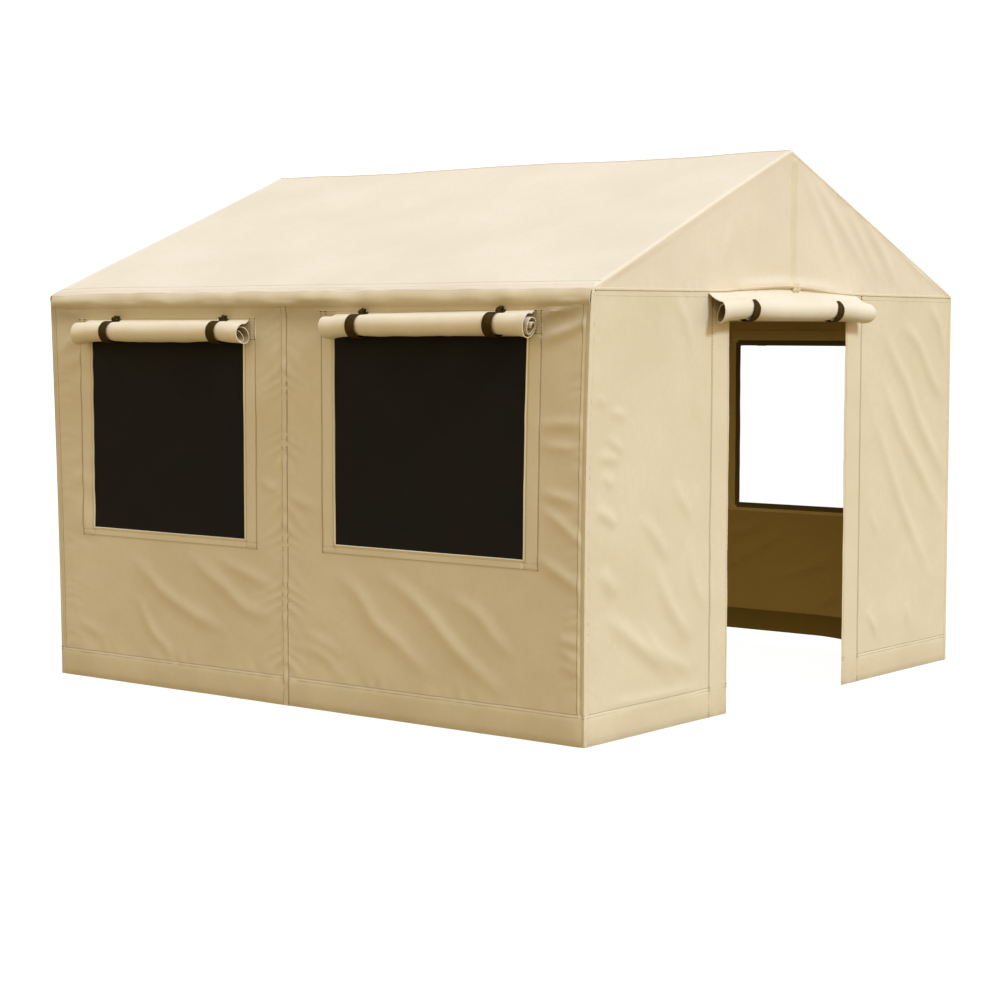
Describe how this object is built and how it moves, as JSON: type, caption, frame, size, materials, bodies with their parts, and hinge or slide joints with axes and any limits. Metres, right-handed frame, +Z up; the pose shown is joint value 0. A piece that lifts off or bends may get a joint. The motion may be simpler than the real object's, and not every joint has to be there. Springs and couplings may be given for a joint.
{
  "type": "cabin tent",
  "caption": "Canvas cabin tent with straight walls and a gable roof on a steel tube frame, open doorway in one end, mesh windows under rolled flaps.",
  "frame": {"origin": "on the ground under the middle of the tent", "axes": "+Z up, +X along the ridge towards the doorway, -Y out of the front wall, the long wall on the left of the doorway as it is seen in the picture"},
  "size_m": [3.295, 3.251, 2.42],
  "materials": {
    "canvas": "plain woven cotton canvas, sand coloured, matt",
    "screen": "fine black insect mesh",
    "webbing": "dark brown webbing",
    "steel": "galvanised tube"
  },
  "bodies": {
    "root": {"roof_front": "canvas", "wall_front_left": "canvas", "screen_front_left": "screen", "flap_front_left": "canvas", "straps_front_left": "webbing", "wall_front_right": "canvas", "screen_front_right": "screen", "flap_front_right": "canvas", "straps_front_right": "webbing", "post_front_far": "steel", "rafter_front_far": "steel", "post_front_middle": "steel", "rafter_front_middle": "steel", "post_front_door": "steel", "rafter_front_door": "steel", "eave_rail_front_far": "steel", "eave_rail_front_door": "steel", "roof_rear": "canvas", "wall_rear_left": "canvas", "screen_rear_left": "screen", "flap_rear_left": "canvas", "straps_rear_left": "webbing", "wall_rear_right": "canvas", "screen_rear_right": "screen", "flap_rear_right": "canvas", "straps_rear_right": "webbing", "post_rear_far": "steel", "rafter_rear_far": "steel", "post_rear_middle": "steel", "rafter_rear_middle": "steel", "post_rear_door": "steel", "rafter_rear_door": "steel", "eave_rail_rear_far": "steel", "eave_rail_rear_door": "steel", "wall_door_left": "canvas", "wall_door_right": "canvas", "gable_door": "canvas", "flap_door": "canvas", "straps_door": "webbing", "wall_far_end": "canvas", "gable_far_end": "canvas", "screen_far_end": "screen", "flap_far_end": "canvas", "straps_far_end": "webbing", "ridge_pole": "steel"}
  },
  "joints": []
}
